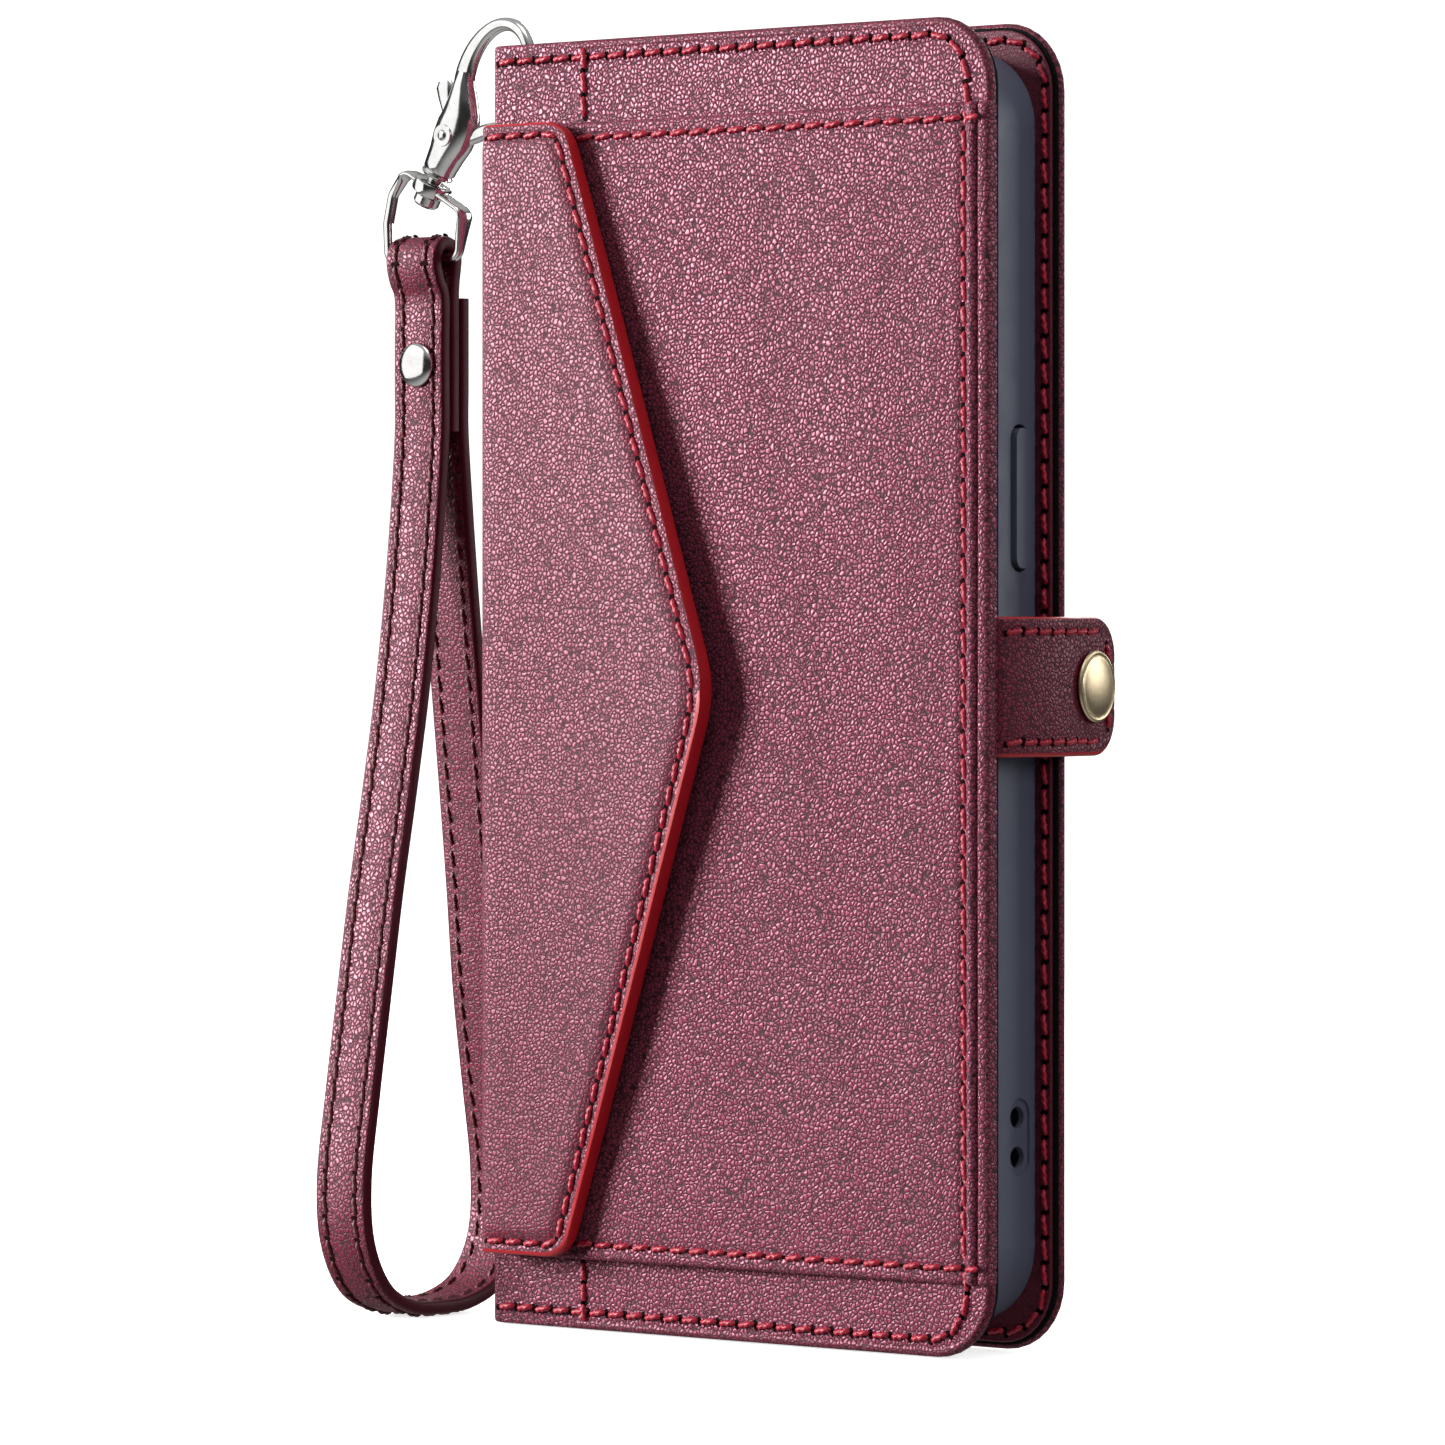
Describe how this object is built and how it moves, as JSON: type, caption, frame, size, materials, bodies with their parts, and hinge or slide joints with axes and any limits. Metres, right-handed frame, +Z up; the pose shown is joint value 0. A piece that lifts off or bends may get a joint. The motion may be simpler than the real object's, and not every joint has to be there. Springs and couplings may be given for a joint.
{
  "type": "phone wallet case",
  "caption": "Upright book-style phone wallet case with an envelope pouch, a snap closing tab, inner card pockets, a soft phone shell and a clip-on wrist strap.",
  "frame": {"origin": "on the surface the closed case stands on, under the middle of the case measured without the clip-on strap", "axes": "+Z up along the spine, +X from the spine to the opening edge, +Y from the front cover to the back cover"},
  "size_m": [0.1112, 0.0372, 0.1742],
  "materials": {
    "outer_leather": "pebbled burgundy, satin",
    "lining": "smooth burgundy lining, matt",
    "red_lining": "bright red raw edge and lining, satin",
    "board": "black felted board",
    "shell": "satin soft plastic",
    "nickel": "polished",
    "snap_brass": "polished",
    "steel": "plain"
  },
  "bodies": {
    "back_cover": {"back_leather": "outer_leather", "back_board": "board", "back_lining": "lining", "phone_shell": "shell", "snap_stud": "snap_brass"},
    "power_button": {"power_button": "shell"},
    "volume_up": {"volume_up": "shell"},
    "volume_down": {"volume_down": "shell"},
    "spine": {"spine_leather": "outer_leather", "spine_lining": "lining", "spine_eyelet": "nickel"},
    "front_cover": {"front_leather": "outer_leather", "front_board": "board", "front_lining": "lining", "cash_pocket": "lining", "card_pocket_1": "lining", "card_pocket_2": "lining", "card_pocket_3": "lining", "tab_root": "outer_leather", "pouch_back": "lining", "pouch_front": "outer_leather", "pouch_keeper": "steel"},
    "flap": {"flap_outer": "outer_leather", "flap_lining": "red_lining", "flap_magnet": "steel"},
    "tab_base": {"tab_base": "outer_leather"},
    "tab_tip": {"tab_tip": "outer_leather", "snap_cap": "snap_brass", "snap_socket": "snap_brass"},
    "clasp": {"clasp_hook": "nickel", "clasp_pin": "nickel", "gate_spring": "steel", "swivel_post": "nickel"},
    "gate": {"gate_lever": "nickel"},
    "d_ring": {"d_ring": "nickel"},
    "strap": {"strap_loop": "outer_leather", "strap_rivet_cap": "nickel", "strap_rivet_back": "nickel"}
  },
  "joints": [
    {"name": "spine_fold", "type": "hinge", "parent": "back_cover", "child": "spine", "pos_m": [-0.04346, 0.00498, 0.085], "axis": [0, 0, -1], "range_deg": [0, 90]},
    {"name": "front_fold", "type": "hinge", "parent": "spine", "child": "front_cover", "pos_m": [-0.04346, -0.00962, 0.085], "axis": [0, 0, -1], "range_deg": [0, 90]},
    {"name": "flap_fold", "type": "hinge", "parent": "front_cover", "child": "flap", "pos_m": [-0.04101, -0.01091, 0.0844], "axis": [0, 0, 1], "range_deg": [-100, 0]},
    {"name": "tab_swing", "type": "hinge", "parent": "front_cover", "child": "tab_base", "pos_m": [0.04154, -0.00861, 0.085], "axis": [0, 0, -1], "range_deg": [0, 90]},
    {"name": "tab_bend", "type": "hinge", "parent": "tab_base", "child": "tab_tip", "pos_m": [0.04159, 0.00594, 0.085], "axis": [0, 0, 1], "range_deg": [0, 82]},
    {"name": "power_press", "type": "slide", "parent": "back_cover", "child": "power_button", "axis": [-1, 0, 0], "range_m": [0, 0.0005], "stiffness_N_per_m": 1500},
    {"name": "volume_up_press", "type": "slide", "parent": "back_cover", "child": "volume_up", "axis": [1, 0, 0], "range_m": [0, 0.00025], "stiffness_N_per_m": 1500},
    {"name": "volume_down_press", "type": "slide", "parent": "back_cover", "child": "volume_down", "axis": [1, 0, 0], "range_m": [0, 0.00025], "stiffness_N_per_m": 1500},
    {"name": "clasp_swing", "type": "hinge", "parent": "spine", "child": "clasp", "pos_m": [-0.04326, -0.00541, 0.1625], "axis": [0, 1, 0], "range_deg": [0, 10]},
    {"name": "gate_open", "type": "hinge", "parent": "clasp", "child": "gate", "pos_m": [-0.05446, -0.00541, 0.1587], "axis": [0, -1, 0], "range_deg": [0, 20], "stiffness_Nm_per_rad": 0.02},
    {"name": "ring_swivel", "type": "hinge", "parent": "clasp", "child": "d_ring", "pos_m": [-0.05446, -0.00541, 0.1587], "axis": [0.5, 0, 0.866], "continuous": true},
    {"name": "strap_swing", "type": "hinge", "parent": "d_ring", "child": "strap", "pos_m": [-0.05986, -0.00541, 0.1424], "axis": [1, 0, 0], "range_deg": [-15, 15]}
  ],
  "couplings": [
    {"joint": "front_fold", "follows": "spine_fold", "ratio": 1}
  ]
}
